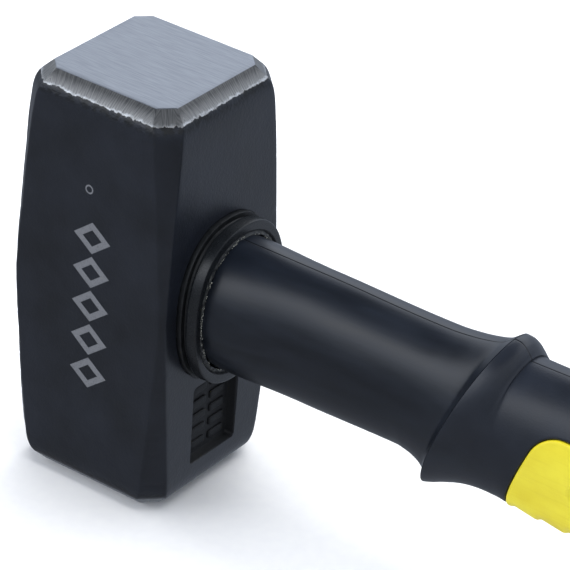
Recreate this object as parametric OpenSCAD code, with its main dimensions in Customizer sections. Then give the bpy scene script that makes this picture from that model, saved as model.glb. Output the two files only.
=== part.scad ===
// Club hammer: forged steel head on a fibreglass-cored handle with a two-colour moulded grip.
// The head stands on its lower striking face and the handle runs level along +X.
// Origin: middle of the lower striking face. +Z runs up the head, +X runs along the handle.

/* [Overall] */
// Length of the hammer along the handle, from the far eye face to the butt
overall_l = 260; // [214:1:316]

/* [Head] */
// Height of the head, striking face to striking face
head_h = 110; // [92:1:132]
// Width across the flat of a square striking face
face_w = 36.6; // [33:0.2:44]
// Corner cut of the striking flat
face_corner = 3.3; // [2:0.1:6]
// Height and depth of the ground 45 degree bevel round each striking face
face_bevel = 3; // [2:0.1:5]
// Height of the drawn-in shoulder next to each bevel
shoulder_h = 6.5; // [4:0.5:9]
// How far the shoulder draws each side in
shoulder_w = 1.4; // [0.6:0.1:2.4]
// Corner cut of the body where the shoulder ends
shoulder_corner = 4.6; // [3:0.1:7]
// Corner cut of the body at mid height
waist_corner = 1.4; // [1:0.1:3]
// How far the two eye faces swell at mid height
eye_face_swell = 0.6; // [0.3:0.1:2]
// How far the two cheeks swell at mid height
cheek_swell = 0.5; // [0.3:0.1:2]

/* [Eye] */
// Height of the oval eye through the head
eye_h = 31.5; // [26:0.5:33]
// Width of the oval eye through the head
eye_w = 23.5; // [19:0.5:25]
// How far the cured resin stops short of the far eye face
resin_sink = 1; // [0.5:0.1:3]
// Depth of the flat seat milled round the eye for the seal
seat_depth = 0.5; // [0.4:0.1:1]

/* [Mark panel] */
// Width of the sunk panel below the eye
panel_w = 17.6; // [12:0.2:22]
// Height of the sunk panel
panel_h = 22; // [14:0.5:23]
// Depth of the sunk panel
panel_depth = 2.3; // [1.2:0.1:4]
// Clear face left between the lower edge of the panel and the lower face
panel_foot = 9.8; // [8:0.1:14]
// Height of the raised bars on the floor of the panel
panel_bar_rise = 0.8; // [0.4:0.1:1]

/* [Seal and collar] */
// Height of the seal flange against the head
seal_h = 43.2; // [40:0.2:46]
// Width of the seal flange
seal_w = 34.8; // [32:0.2:38]
// Thickness of the seal flange
seal_t = 1.5; // [1:0.1:3]
// Length of the seal neck, seen as a dark groove behind the collar
seal_neck = 1.3; // [0.8:0.1:3]
// Step in from the flange to the neck
seal_step = 1.5; // [0.8:0.1:2]
// Height of the collar
collar_h = 42.6; // [40:0.2:46]
// Width of the collar
collar_w = 35.8; // [33:0.2:38]
// Thickness of the collar along the handle
collar_t = 3.1; // [2.4:0.1:6]
// Edge cut of the collar rims
collar_r = 0.8; // [0.4:0.1:1.1]
// Gap between collar and shaft, filled by the adhesive bead
bead_gap = 0.7; // [0.4:0.1:1.5]

/* [Core and jacket] */
// Height of the oval fibreglass core
core_h = 20; // [14:0.5:22]
// Width of the oval fibreglass core
core_w = 13; // [9:0.5:14.5]
// Height of the shaft
shaft_h = 35; // [32:0.2:36.4]
// Width of the shaft at the collar
mouth_w = 29.4; // [27:0.2:30.6]
// Width of the shaft past its shoulder
shaft_w = 25.6; // [23:0.2:28]
// Length of the jacket spigot inside the eye
spigot_l = 9; // [5:0.5:16]
// Clearance of the spigot in the eye and of the seal on the spigot
spigot_gap = 0.5; // [0.3:0.1:1]
// Height of the jacket tube under the grip
tube_h = 29; // [24:0.5:30]
// Width of the jacket tube under the grip
tube_w = 20; // [16:0.5:21]

/* [Guard and grip] */
// Distance of the guard crest from the middle of the head
guard_x = 97; // [86:0.5:108]
// Height over the guard crest
guard_h = 45; // [41:0.5:52]
// Width over the guard crest
guard_w = 32.4; // [30:0.2:37]
// Lean of the guard, run along the handle for each unit of rise
guard_lean = 0.38; // [0:0.02:0.5]
// Height of the grip
grip_h = 38.2; // [36:0.2:42]
// Width of the grip behind the guard
grip_w = 26.6; // [26:0.2:30]
// Width of the palm swell
palm_w = 29; // [28:0.2:33]
// How far the grip hangs below the shaft centre line
grip_drop = 0.8; // [0:0.1:2]
// How far the underside draws in behind the guard
grip_waist = 1.2; // [0:0.1:1.4]
// Height of the flared butt
butt_h = 43; // [41:0.5:48]
// Width of the flared butt
butt_w = 30; // [28:0.2:34]

/* [Insert] */
// Where the front edge of the insert crosses the centre line, from the middle of the head
insert_x = 119; // [117:0.2:126]
// Height of the upper edge of the insert over the centre line
insert_rise = 9.2; // [6:0.2:10.5]
// Corner radius of the insert
insert_r = 8.6; // [5:0.2:9.6]
// Height of the oval bed under the insert
bed_h = 33.6; // [32:0.2:34.6]
// Width of the oval bed under the insert
bed_w = 23.6; // [22.6:0.2:24.4]

/* [Butt cap] */
// Length of the butt cap behind the grip
cap_l = 17.6; // [15:0.2:22]
// Length of the cap tenon inside the grip
tenon_l = 10; // [6:0.5:14]
// Diameter of the hanging hole
hang_d = 9; // [5:0.5:10]
// Width over the two flats round the hanging hole
hang_l = 26.6; // [24:0.2:28]

/* [Hidden] */
$fn = 96;

EPS = 0.01;
FAR = 1000;
LOFT_N = 48;                       // points round each ring of a loft

mid_z = head_h / 2;                // handle centre line
side_x = face_w / 2 + face_bevel + shoulder_w;         // body side where the shoulder ends
eye_face_x = side_x + eye_face_swell;        // far reach of an eye face
cheek_y = side_x + cheek_swell;              // far reach of a cheek
seat_x = eye_face_x - seat_depth;
collar_x = seat_x + seal_t + seal_neck;
shaft_x = collar_x + collar_t;
butt_x = overall_l - eye_face_x;
cap_x = butt_x - cap_l;
core_end_x = cap_x - tenon_l;
core_far_x = -eye_face_x + resin_sink + 5;   // resin covers the far end of the core

panel_z = panel_foot + panel_h / 2;
panel_bars = [2, 5];               // columns and rows of raised bars
panel_bar = [5.6, 1.9];            // width and height of one bar

// Rings of the handle surface: [station, half height, half width, centre height, lean]
flare_l = 17;                      // run of the concave front of the guard
heel_l = 14;                       // run of the smooth back of the guard
shoulder_l = 23;                   // run of the narrowing shoulder past the collar
palm_x = (guard_x + cap_x) / 2 + 6;

function blend(a, b, t) = a + (b - a) * t;
function ease(t) = (1 - cos(180 * t)) / 2;
function flare(t) = 1 - sqrt(1 - t * t);

SHAFT_RINGS = concat(
    [[collar_x, shaft_h / 2, mouth_w / 2, 0, 0]],
    [for (t = [0, 0.25, 0.5, 0.75, 1])
        [shaft_x + 1 + shoulder_l * t, shaft_h / 2, blend(mouth_w, shaft_w, ease(t)) / 2, 0, 0]],
    [for (t = [0, 0.35, 0.6, 0.78, 0.91, 1])
        [guard_x - flare_l * (1 - t), blend(shaft_h - 1, guard_h, flare(t)) / 2,
         blend(shaft_w, guard_w, flare(t)) / 2, -grip_drop * t, guard_lean * t]]);

GRIP_RINGS = concat(
    [for (t = [0, 0.12, 0.3, 0.5, 0.75, 1])
        let (dip = grip_waist * ease(t) / 2)
        [guard_x + heel_l * t, blend(guard_h, grip_h - 1, ease(t)) / 2 - dip,
         blend(guard_w, grip_w + 1, ease(t)) / 2, dip - grip_drop, guard_lean * (1 - t * t)]],
    [for (t = [0.3, 0.6, 1])
        let (x = guard_x + heel_l, dip = grip_waist * (1 - ease(min(1, 3 * t))) / 2)
        [blend(x, palm_x, t), blend(grip_h - 1, grip_h, min(1, 2 * t)) / 2 - dip,
         blend(grip_w, palm_w, ease(t)) / 2, dip - grip_drop, 0]],
    [for (t = [0.35, 0.65, 1])
        [blend(palm_x, cap_x, t), blend(grip_h, butt_h - 3, t * t * t) / 2,
         blend(palm_w, butt_w - 1.5, t * t) / 2, -grip_drop, 0]]);

CAP_RINGS = [for (t = [0, 0.25, 0.5, 0.75, 0.9, 1])
    let (edge = sqrt(1 - pow(t, 6) * 0.55))
    [cap_x + cap_l * t, (butt_h - 3 + 3 * sin(90 * min(1, 2 * t))) / 2 * edge,
     (butt_w - 1.5 + 1.5 * sin(90 * min(1, 2 * t))) / 2 * edge, -grip_drop, 0]];

// ---- shared shapes ----

// Oval bar along the handle centre line, from x0 to x1
module oval_bar(x0, x1, h, w, drop = 0) {
    translate([x0, 0, mid_z - drop]) rotate([0, 90, 0])
        linear_extrude(height = x1 - x0) scale([1, w / h]) circle(h / 2);
}

// Oval disc with cut rims, from x0 along the handle
module oval_disc(x0, t, h, w, r) {
    hull() {
        oval_bar(x0 + r, x0 + t - r, h, w);
        oval_bar(x0, x0 + t, h - 2 * r, w - 2 * r);
    }
}

// Solid skin over points that come ring by ring, n points to a ring
module skin(pts, n) {
    rings = len(pts) / n;
    sides = [for (j = [0:rings - 2]) for (i = [0:n - 1])
        let (k = (i + 1) % n, a = j * n, b = a + n)
        each [[a + i, b + k, b + i], [a + i, a + k, b + k]]];
    first = [for (i = [n - 1:-1:0]) i];
    last = [for (i = [0:n - 1]) (rings - 1) * n + i];
    polyhedron(points = pts, faces = concat([first, last], sides));
}

// Solid through a list of oval rings; each ring is flat, and leans by its last value
module loft(rings) {
    skin([for (s = rings) for (i = [0:LOFT_N - 1])
        let (a = 360 * i / LOFT_N, z = s[1] * cos(a))
        [s[0] + s[4] * z, s[2] * sin(a), mid_z + s[3] + z]], LOFT_N);
}

// ---- head ----

// Forged body: square sections with cut corners, [height, half depth, half width, corner cut]
module body() {
    corner = face_corner + face_bevel * (2 - sqrt(2));
    low = face_bevel + shoulder_h;
    half = [[0, face_w / 2, face_w / 2, face_corner],
            [face_bevel, face_w / 2 + face_bevel, face_w / 2 + face_bevel, corner],
            [low, side_x, side_x, shoulder_corner],
            [blend(low, mid_z, 0.5), eye_face_x, cheek_y, waist_corner]];
    rings = concat(half, [for (i = [len(half) - 1:-1:0]) concat([head_h - half[i][0]],
                                                               [for (k = [1:3]) half[i][k]])]);
    skin([for (s = rings) for (turn = [0:3]) for (side = [1, -1])
        let (u = turn % 2 == 0 ? s[1] : s[2], v = (turn % 2 == 0 ? s[2] : s[1]) - s[3])
        [u * cos(90 * turn) + side * v * sin(90 * turn),
         side * v * cos(90 * turn) - u * sin(90 * turn), s[0]]], 8);
}

module mark_panel() {
    pitch_y = panel_w / (panel_bars[0] + 0.4);
    pitch_z = panel_h / (panel_bars[1] + 0.6);
    floor_x = side_x - panel_depth;
    difference() {
        translate([floor_x, -panel_w / 2, panel_foot]) cube([FAR, panel_w, panel_h]);
        for (i = [0:panel_bars[0] - 1], j = [0:panel_bars[1] - 1])
            translate([floor_x - EPS,
                       (i - (panel_bars[0] - 1) / 2) * pitch_y - panel_bar[0] / 2,
                       panel_z + (j - (panel_bars[1] - 1) / 2) * pitch_z - panel_bar[1] / 2])
                cube([panel_bar_rise + EPS, panel_bar[0], panel_bar[1]]);
    }
}

module head() {
    color("#272b34") difference() {
        body();
        oval_bar(-FAR / 2, FAR / 2, eye_h, eye_w);
        oval_bar(seat_x, FAR / 2, seal_h, seal_w);
        mark_panel();
    }
}

module eye_resin() {
    color("#1b1a18") difference() {
        oval_bar(-eye_face_x + resin_sink, seat_x - spigot_l, eye_h, eye_w);
        oval_bar(core_far_x, FAR / 2, core_h, core_w);
    }
}

// ---- handle ----

module core() {
    color("#cdbf8a") oval_bar(core_far_x, core_end_x, core_h, core_w);
}

module jacket() {
    color("#20242d") difference() {
        union() {
            loft(SHAFT_RINGS);
            oval_bar(seat_x - spigot_l, collar_x, eye_h - 2 * spigot_gap, eye_w - 2 * spigot_gap);
            oval_bar(shaft_x, core_end_x, tube_h, tube_w, grip_drop);
        }
        oval_bar(-FAR / 2, FAR / 2, core_h, core_w);
    }
}

module eye_seal() {
    color("#15181d") difference() {
        union() {
            oval_bar(seat_x, seat_x + seal_t, seal_h, seal_w);
            oval_bar(seat_x, collar_x, seal_h - 2 * seal_step, seal_w - 2 * seal_step);
        }
        oval_bar(-FAR / 2, FAR / 2, eye_h - 2 * spigot_gap, eye_w - 2 * spigot_gap);
    }
}

module collar() {
    color("#2c3137") difference() {
        oval_disc(collar_x, collar_t, collar_h, collar_w, collar_r);
        oval_bar(-FAR / 2, FAR / 2, shaft_h + 2 * bead_gap, mouth_w + 2 * bead_gap);
    }
}

module adhesive_bead() {
    color("#6f7068") difference() {
        oval_bar(collar_x, shaft_x - collar_r, shaft_h + 2 * bead_gap, mouth_w + 2 * bead_gap);
        oval_bar(-FAR / 2, FAR / 2, shaft_h, mouth_w);
    }
}

// Region of the grip surface that the insert covers, seen from the side
module insert_region() {
    top = mid_z + insert_rise - insert_r;
    low = -butt_h;
    x0 = insert_x + guard_lean * (insert_rise - insert_r) + insert_r;
    x1 = cap_x - insert_r;
    drop = top - low;
    translate([0, FAR / 2, 0]) rotate([90, 0, 0]) linear_extrude(height = FAR) hull() {
        translate([x0, top]) circle(insert_r, $fn = 32);
        translate([x1 - insert_r, top]) circle(insert_r, $fn = 32);
        translate([x0 - guard_lean * drop, low]) circle(insert_r, $fn = 32);
        translate([x1 - insert_r - guard_lean * drop, low]) circle(insert_r, $fn = 32);
    }
}

module grip() {
    color("#262a33") difference() {
        loft(GRIP_RINGS);
        oval_bar(0, FAR, tube_h, tube_w, grip_drop);
        difference() {
            insert_region();
            oval_bar(0, FAR, bed_h, bed_w, grip_drop);
        }
    }
}

module grip_insert() {
    color("#e6d940") difference() {
        intersection() {
            loft(GRIP_RINGS);
            insert_region();
        }
        oval_bar(0, FAR, bed_h, bed_w, grip_drop);
    }
}

module butt_cap() {
    hang_x = cap_x + cap_l / 2;
    color("#1f232b") difference() {
        union() {
            loft(CAP_RINGS);
            oval_bar(core_end_x, cap_x + 1, tube_h, tube_w, grip_drop);
        }
        translate([hang_x, 0, mid_z - grip_drop]) rotate([90, 0, 0]) {
            cylinder(d = hang_d, h = FAR, center = true);
            for (side = [0, 1]) mirror([0, 0, side])
                translate([0, 0, hang_l / 2]) cylinder(d = hang_d + 6, h = FAR);
        }
    }
}

head();
core();
jacket();
eye_resin();
eye_seal();
collar();
adhesive_bead();
grip();
grip_insert();
butt_cap();
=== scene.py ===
# Club hammer: square forged steel head, oval fibreglass-cored handle with a guard, and a soft
# two-colour grip. Metres in Blender, millimetres in the numbers below.
# Origin: middle of the lower striking face. +Z runs up the head, +X runs along the handle.
import math
from functools import partial

import bmesh
import bpy
import numpy as np
from mathutils import Matrix, Vector, noise


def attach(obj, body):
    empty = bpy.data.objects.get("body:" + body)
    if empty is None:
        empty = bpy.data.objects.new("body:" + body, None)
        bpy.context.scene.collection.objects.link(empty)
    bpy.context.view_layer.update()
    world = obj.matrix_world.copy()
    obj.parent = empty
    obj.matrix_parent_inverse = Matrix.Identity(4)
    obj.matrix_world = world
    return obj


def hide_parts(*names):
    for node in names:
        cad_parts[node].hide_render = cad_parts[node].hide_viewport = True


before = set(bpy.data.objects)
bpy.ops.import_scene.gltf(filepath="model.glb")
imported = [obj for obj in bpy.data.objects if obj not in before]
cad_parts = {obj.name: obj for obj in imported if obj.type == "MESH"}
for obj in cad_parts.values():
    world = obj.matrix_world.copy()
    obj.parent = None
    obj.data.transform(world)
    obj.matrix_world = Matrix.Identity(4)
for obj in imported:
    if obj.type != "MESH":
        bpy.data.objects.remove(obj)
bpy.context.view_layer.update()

# ---- Head ---------------------------------------------------------------------------------
# Drop-forged carbon steel, a square body with cut corners and slightly swollen sides. Both
# striking ends are ground to bare metal; the rest carries a thin coat of blue-black enamel.
MM = 0.001
HEAD_H = 110.0                # striking face to striking face
MID_Z = HEAD_H / 2            # handle centre line
FACE_HALF = 18.3              # half width of the square striking flat
FACE_CORNER = 3.3             # corner cut of the flat
BEVEL = 3.0                   # height and depth of the ground bevel
SHOULDER = (1.25, 1.8)        # rounded shoulder past the bevel: growth, and height it takes
SWELL = (0.55, 16.0)          # slow swell from there: growth, and height it takes
WAIST_CORNER = 1.0            # corner cut at mid height
END_CORNER = 4.06             # growth of the corner cut from there to the bevel
EYE_FACE_X = 23.3             # where the two eye faces lie at mid height


def srgb(code):
    """A hex colour as linear RGBA."""
    parts = [int(code[i:i + 2], 16) / 255 for i in (0, 2, 4)]
    return tuple(c / 12.92 if c <= 0.04045 else ((c + 0.055) / 1.055) ** 2.4 for c in parts) + (1,)


def mesh_piece(name, points_mm, faces, sharp=30):
    """A mesh object at the origin from points in millimetres, smooth up to the sharp angle."""
    mesh = bpy.data.meshes.new(name)
    mesh.from_pydata([tuple(p) for p in np.asarray(points_mm) * MM], [], faces)
    mesh.polygons.foreach_set("use_smooth", [True] * len(mesh.polygons))
    mesh.set_sharp_from_angle(angle=math.radians(sharp))
    piece = bpy.data.objects.new(name, mesh)
    bpy.context.collection.objects.link(piece)
    return piece


def ring_faces(rings, around, close=True):
    """Quads between rings of points, with both ends capped where close is set."""
    faces = [(j * around + i, j * around + (i + 1) % around,
              (j + 1) * around + (i + 1) % around, (j + 1) * around + i)
             for j in range(rings - 1) for i in range(around)]
    if close:
        faces.append(tuple(range(around - 1, -1, -1)))
        faces.append(tuple((rings - 1) * around + i for i in range(around)))
    return faces


def rounded_line(points, radii, steps=3):
    """An open outline with its inner corners rounded to the given radii."""
    pts = [np.array(p, float) for p in points]
    out = [pts[0]]
    for before, here, after, r in zip(pts, pts[1:], pts[2:], radii):
        u = (before - here) / np.linalg.norm(before - here)
        v = (after - here) / np.linalg.norm(after - here)
        half = math.acos(max(-1, min(1, float(u @ v)))) / 2
        back = r / math.tan(half)
        for k in range(steps + 1):
            t = k / steps
            out.append(here + u * back * (1 - t) ** 2 + v * back * t ** 2)
    return np.array(out + [pts[-1]])


def octagon(a, b, cut, r, side_steps=44, cut_steps=5, arc_steps=3):
    """A square section with cut corners, half sizes a and b, edges rounded to r."""
    ring = []
    for turn in range(4):
        u, v = (a, b) if turn % 2 == 0 else (b, a)
        r = min(r, cut * 1.4)
        diag = (u + v - cut) / math.sqrt(2) - r
        centres = ((u - r, math.sqrt(2) * diag - u + r), (math.sqrt(2) * diag - v + r, v - r))
        quarter = []
        for base, (cx, cy) in zip((0, 45), centres):
            for k in range(arc_steps + 1):
                ang = math.radians(base + 45 * k / arc_steps)
                quarter.append((cx + r * math.cos(ang), cy + r * math.sin(ang)))
        start = (u, -centres[0][1])
        line = [(u, start[1] + (quarter[0][1] - start[1]) * k / side_steps)
                for k in range(1, side_steps)]
        first, second = quarter[:arc_steps + 1], quarter[arc_steps + 1:]
        between = [(first[-1][0] + (second[0][0] - first[-1][0]) * k / cut_steps,
                    first[-1][1] + (second[0][1] - first[-1][1]) * k / cut_steps)
                   for k in range(1, cut_steps)]
        cs, sn = (1, 0, -1, 0)[turn], (0, 1, 0, -1)[turn]
        ring += [(x * cs - y * sn, x * sn + y * cs) for x, y in line + first + between + second]
    return ring


# One end as an outline of (distance from the striking face, half width), then mirrored.
def side_half(depth):
    past = depth - BEVEL
    return FACE_HALF + BEVEL + sum(g * (1 - math.exp(-past / h)) for g, h in (SHOULDER, SWELL))


end_line = rounded_line([(0, FACE_HALF - 1.2), (0, FACE_HALF), (BEVEL, FACE_HALF + BEVEL),
                         (BEVEL + 0.6, side_half(BEVEL + 0.6))], [0.22, 0.3])
depths = np.concatenate([np.arange(BEVEL + 0.9, 9, 0.4), np.arange(9, MID_Z, 0.8)])
end_line = np.vstack([end_line, [(d, side_half(d)) for d in depths]])
levels = [(d, w) for d, w in end_line] + [(HEAD_H - d, w) for d, w in end_line[::-1]]
body_points = []
for z, w in levels:
    depth = min(z, HEAD_H - z)
    if depth < BEVEL:
        cut = FACE_CORNER + (w - FACE_HALF) * (2 - math.sqrt(2))
        r = 0.25
    else:
        cut = WAIST_CORNER + END_CORNER * (abs(z - MID_Z) / (MID_Z - BEVEL)) ** 1.1
        r = 0.25 + 0.75 * min(1, (depth - BEVEL) / 3)
    body_points += [(x, y, z) for x, y in octagon(w, w - 0.1, cut, r)]
body_points = np.array(body_points)
around = len(body_points) // len(levels)

# Forging leaves soft lumps, strongest along the cut corners, where scale was beaten in.
for i, (x, y, z) in enumerate(body_points):
    depth = min(z, HEAD_H - z)
    if depth > BEVEL + 0.1:
        fade = min(1, (depth - BEVEL) / 4)
        on_corner = max(0, 1 - abs(abs(x) - abs(y)) / 5) * (depth < 42)
        calm = 0.35 if x > 20 else 1
        spot = Vector((x, y, z))
        lump = calm * (noise.noise(spot / 9) * 0.14 + noise.noise(spot / 2.6) * 0.05)
        pit = min(0, noise.noise(Vector((x, y, z * 0.8)) / 1.5 + Vector((7, 3, 1))) + 0.18) * on_corner
        out = math.hypot(x, y)
        push = fade * (lump + 0.5 * pit) / out
        body_points[i][:2] += np.array((x, y)) * push
head = mesh_piece("head_body", body_points, ring_faces(len(levels), around), sharp=24)


def oval_loft(name, stations, power=2.0, steps=160):
    """A solid through ovals (x, height, width) along the handle, squarer where power is above 2."""
    pts = []
    for x, h, w in stations:
        for k in range(steps):
            a = 2 * math.pi * k / steps
            c, s = math.cos(a), math.sin(a)
            grow = (abs(c) ** power + abs(s) ** power) ** (-1 / power)
            pts.append((x, -w / 2 * s * grow, MID_Z + h / 2 * c * grow))
    return mesh_piece(name, pts, ring_faces(len(stations), steps))


def carve(piece, cutter):
    """Takes the cutter out of the piece and drops the cutter."""
    cut = piece.modifiers.new("cut", "BOOLEAN")
    cut.operation, cut.solver, cut.object = "DIFFERENCE", "EXACT", cutter
    made = bpy.data.meshes.new_from_object(piece.evaluated_get(bpy.context.evaluated_depsgraph_get()))
    piece.modifiers.clear()
    piece.data = made
    bpy.data.objects.remove(cutter)


# The eye: an oval hole right through, broken at its far rim, with a shallow seat for the seal.
EYE_H, EYE_W = 31.5, 23.5
SEAT_X = 22.8
carve(head, oval_loft("eye_cutter", [
    (-30, EYE_H + 12, EYE_W + 12), (-EYE_FACE_X - 0.1, EYE_H + 2.2, EYE_W + 2.2),
    (-EYE_FACE_X + 0.35, EYE_H + 1.1, EYE_W + 1.1), (-EYE_FACE_X + 0.9, EYE_H + 0.35, EYE_W + 0.35),
    (-EYE_FACE_X + 1.6, EYE_H, EYE_W), (SEAT_X, EYE_H, EYE_W), (SEAT_X + 0.01, 43.9, 35.5),
    (SEAT_X + 0.35, 44.0, 35.6), (SEAT_X + 0.7, 44.8, 36.4), (30, 52, 44)], power=2.25))

# The maker's panel: a sunk rectangle with drafted walls, rounded at its floor and its rim.
PANEL_FLOOR, PANEL_RIM = 20.4, 23.0
PANEL_Z, PANEL_HALF_W, PANEL_HALF_H = 20.8, 8.8, 11.0
panel_points, panel_around = [], 0
for x, grow in ((PANEL_FLOOR, -1.0), (PANEL_FLOOR + 0.12, -0.72), (PANEL_FLOOR + 0.5, -0.5),
                (PANEL_RIM - 0.7, -0.1), (PANEL_RIM - 0.3, 0.05), (PANEL_RIM, 0.3),
                (PANEL_RIM + 0.3, 0.8), (27, 4)):
    w, h, r = PANEL_HALF_W + grow, PANEL_HALF_H + grow, 0.9 + max(0, grow)
    ring = [(cy + r * math.cos(a), cz + r * math.sin(a))
            for cy, cz, a0 in ((w - r, h - r, 0), (r - w, h - r, 90), (r - w, r - h, 180),
                               (w - r, r - h, 270))
            for a in (math.radians(a0 + 15 * k) for k in range(7))]
    panel_points += [(x, y, PANEL_Z + z) for y, z in ring]
    panel_around = len(ring)
rings = len(panel_points) // panel_around
carve(head, mesh_piece("panel_cutter", panel_points, ring_faces(rings, panel_around)))
head.data.set_sharp_from_angle(angle=math.radians(24))


def add(tree, kind, *values, into={}, out=0, **settings):
    """Adds one node with its settings, fills its sockets in order or by name, gives an output."""
    made = tree.nodes.new(kind)
    for key, value in settings.items():
        setattr(made, key, value)
    for key, value in [*enumerate(values), *into.items()]:
        if isinstance(value, bpy.types.NodeSocket):
            tree.links.new(value, made.inputs[key])
        else:
            made.inputs[key].default_value = value
    return made.outputs[out] if made.outputs else made


# Raised bars on the panel floor, two columns of five, in place of any lettering.
bar_grid = bpy.data.node_groups.new("panel_bars", "GeometryNodeTree")
bar_grid.interface.new_socket("Geometry", in_out="OUTPUT", socket_type="NodeSocketGeometry")
for label, kind in (("Columns", "Int"), ("Rows", "Int"), ("Bar length", "Float"), ("Bar height", "Float"),
                    ("Bar rise", "Float"), ("Column pitch", "Float"), ("Row pitch", "Float"),
                    ("Middle", "Vector"), ("Material", "Material")):
    bar_grid.interface.new_socket(label, in_out="INPUT", socket_type="NodeSocket" + kind)
put = partial(add, bar_grid)
given = bar_grid.nodes.new("NodeGroupInput").outputs
wide = put("ShaderNodeMath", put("ShaderNodeMath", given["Columns"], 1.0, operation="SUBTRACT"),
           given["Column pitch"], operation="MULTIPLY")
tall = put("ShaderNodeMath", put("ShaderNodeMath", given["Rows"], 1.0, operation="SUBTRACT"),
           given["Row pitch"], operation="MULTIPLY")
grid = put("GeometryNodeMeshGrid", wide, tall, given["Columns"], given["Rows"])
size = put("ShaderNodeCombineXYZ", given["Bar length"], given["Bar height"], given["Bar rise"])
bar = put("GeometryNodeMeshCube", size, 5, 4, 3)
bar = put("GeometryNodeSubdivisionSurface", bar, 1)
laid = put("GeometryNodeInstanceOnPoints", grid, into={"Instance": bar})
stood = put("GeometryNodeTransform", laid, into={"Translation": given["Middle"],
                                                "Rotation": (math.pi / 2, 0, math.pi / 2)})
whole = put("GeometryNodeRealizeInstances", stood)
put("NodeGroupOutput", put("GeometryNodeSetMaterial", whole, into={"Material": given["Material"]}))


def grow_nodes(name, tree, values):
    """The plain mesh that a Geometry Nodes tree makes from the given named inputs."""
    piece = bpy.data.objects.new(name, bpy.data.meshes.new(name + "_seed"))
    bpy.context.collection.objects.link(piece)
    made = piece.modifiers.new("grow", "NODES")
    made.node_group = tree
    for item in tree.interface.items_tree:
        if item.item_type == "SOCKET" and item.in_out == "INPUT":
            made[item.identifier] = values[item.name]
    plain = bpy.data.meshes.new_from_object(piece.evaluated_get(bpy.context.evaluated_depsgraph_get()))
    piece.modifiers.clear()
    piece.data = plain
    plain.name = name
    plain.polygons.foreach_set("use_smooth", [True] * len(plain.polygons))
    return piece


# Enamelled forging steel: thin satin blue-black paint over a faintly pebbled skin, ground away
# at both ends to grey steel with grinding lines, and a pale burnt rim where the paint stops.
PAINT_RIM = 3.15              # distance of the paint's edge from a striking face
BRUSH_TURN = math.radians(-28)


def start_material(name):
    """A material with its node adder, its shader and its Object coordinates in millimetres."""
    made = bpy.data.materials.new(name)
    made.use_nodes = True
    made.node_tree.nodes.clear()
    put = partial(add, made.node_tree)
    shader = made.node_tree.nodes.new("ShaderNodeBsdfPrincipled")
    put("ShaderNodeOutputMaterial", shader.outputs[0])
    place = put("ShaderNodeVectorMath", put("ShaderNodeTexCoord", out="Object"), into={"Scale": 1000.0},
                operation="SCALE")
    return made, put, shader, place


def grain(put, where, size_mm, detail=2.0, stretch=(1, 1, 1), turn=0.0):
    """Noise whose spots are about size_mm across, drawn out by stretch and turned about Z."""
    mapped = put("ShaderNodeMapping", where, into={
        "Rotation": (0, 0, turn), "Scale": tuple(1 / (size_mm * s) for s in stretch)})
    return put("ShaderNodeTexNoise", mapped, into={"Scale": 1.0, "Detail": detail})


def wear(shader, put, colour, rough, height_mm):
    """Joins a surface's colour, roughness and relief in millimetres to its shader."""
    relief = put("ShaderNodeBump", into={"Height": height_mm, "Strength": 1.0, "Distance": 0.001})
    put_to = shader.id_data.links.new
    put_to(colour, shader.inputs["Base Color"])
    put_to(rough, shader.inputs["Roughness"])
    put_to(relief, shader.inputs["Normal"])


enamel, put, shader, place = start_material("blue_black_enamel_on_ground_steel")
math_node, span, blend = "ShaderNodeMath", "ShaderNodeMapRange", "ShaderNodeMix"
place_x, place_y, place_z = [put("ShaderNodeSeparateXYZ", place, out=axis) for axis in "XYZ"]
depth = put(math_node, place_z, MID_Z, operation="PINGPONG")
low_end = put(math_node, place_z, MID_Z, operation="LESS_THAN")
edge = put(math_node, low_end, 0.45, depth, operation="MULTIPLY_ADD")
edge = put(math_node, grain(put, place, 1.1, 4), 1.2, edge, operation="MULTIPLY_ADD")
edge = put(math_node, grain(put, place, 5), 0.7, edge, operation="MULTIPLY_ADD")
RAGGED = 0.95                 # mean of what the two noises add to the depth
paint = put(span, edge, PAINT_RIM + RAGGED - 0.1, PAINT_RIM + RAGGED + 0.1)
rim = put(span, edge, PAINT_RIM + RAGGED - 0.5, PAINT_RIM + RAGGED - 0.1)
on_flat = put(span, depth, 0.16, 0.05)

# Ground faces: fine parallel brushing on the flat, coarser lines across each bevel.
brushed = grain(put, place, 0.22, 3, stretch=(24, 1, 24), turn=BRUSH_TURN)
drag = grain(put, place, 0.6, 2, stretch=(14, 1, 14), turn=BRUSH_TURN)
facing = put("ShaderNodeTexCoord", out="Normal")
turned = put("ShaderNodeVectorMath", facing, place, operation="CROSS_PRODUCT")
along = put("ShaderNodeSeparateXYZ", turned, out="Z")
strokes = put("ShaderNodeCombineXYZ", put(math_node, along, 4.2, operation="MULTIPLY"),
              put(math_node, place_z, 0.25, operation="MULTIPLY"))
ground = put("ShaderNodeTexNoise", strokes, into={"Scale": 1.0, "Detail": 3.0})
flat_tone = put(blend, put(span, brushed, 0.3, 0.7), into={6: srgb("8f949d"), 7: srgb("a3a8b0")},
                data_type="RGBA", out=2)
flat_tone = put(blend, put(span, drag, 0.4, 0.7, 0.0, 0.25), into={6: flat_tone, 7: srgb("b4b9c1")},
                data_type="RGBA", out=2)
# The bevels are the same ground steel as the flat: their darker tone here is painted shade.
bevel_painted_light_and_shade = put(blend, put(span, ground, 0.32, 0.68), into={6: srgb("4a4b4d"), 7: srgb("6f6f6e")},
                 data_type="RGBA", out=2)
# A lighter tone towards the paint and on the cut corners is painted reflection.
painted_reflection_tone = put(blend, put(span, ground, 0.32, 0.68), into={6: srgb("7b7c7e"), 7: srgb("b4b4b2")},
               data_type="RGBA", out=2)
facing_x, facing_y = [put("ShaderNodeSeparateXYZ", facing, out=axis) for axis in "XY"]
on_corner = put(math_node, put(math_node, facing_x, facing_y, operation="MULTIPLY"), operation="ABSOLUTE")
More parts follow.
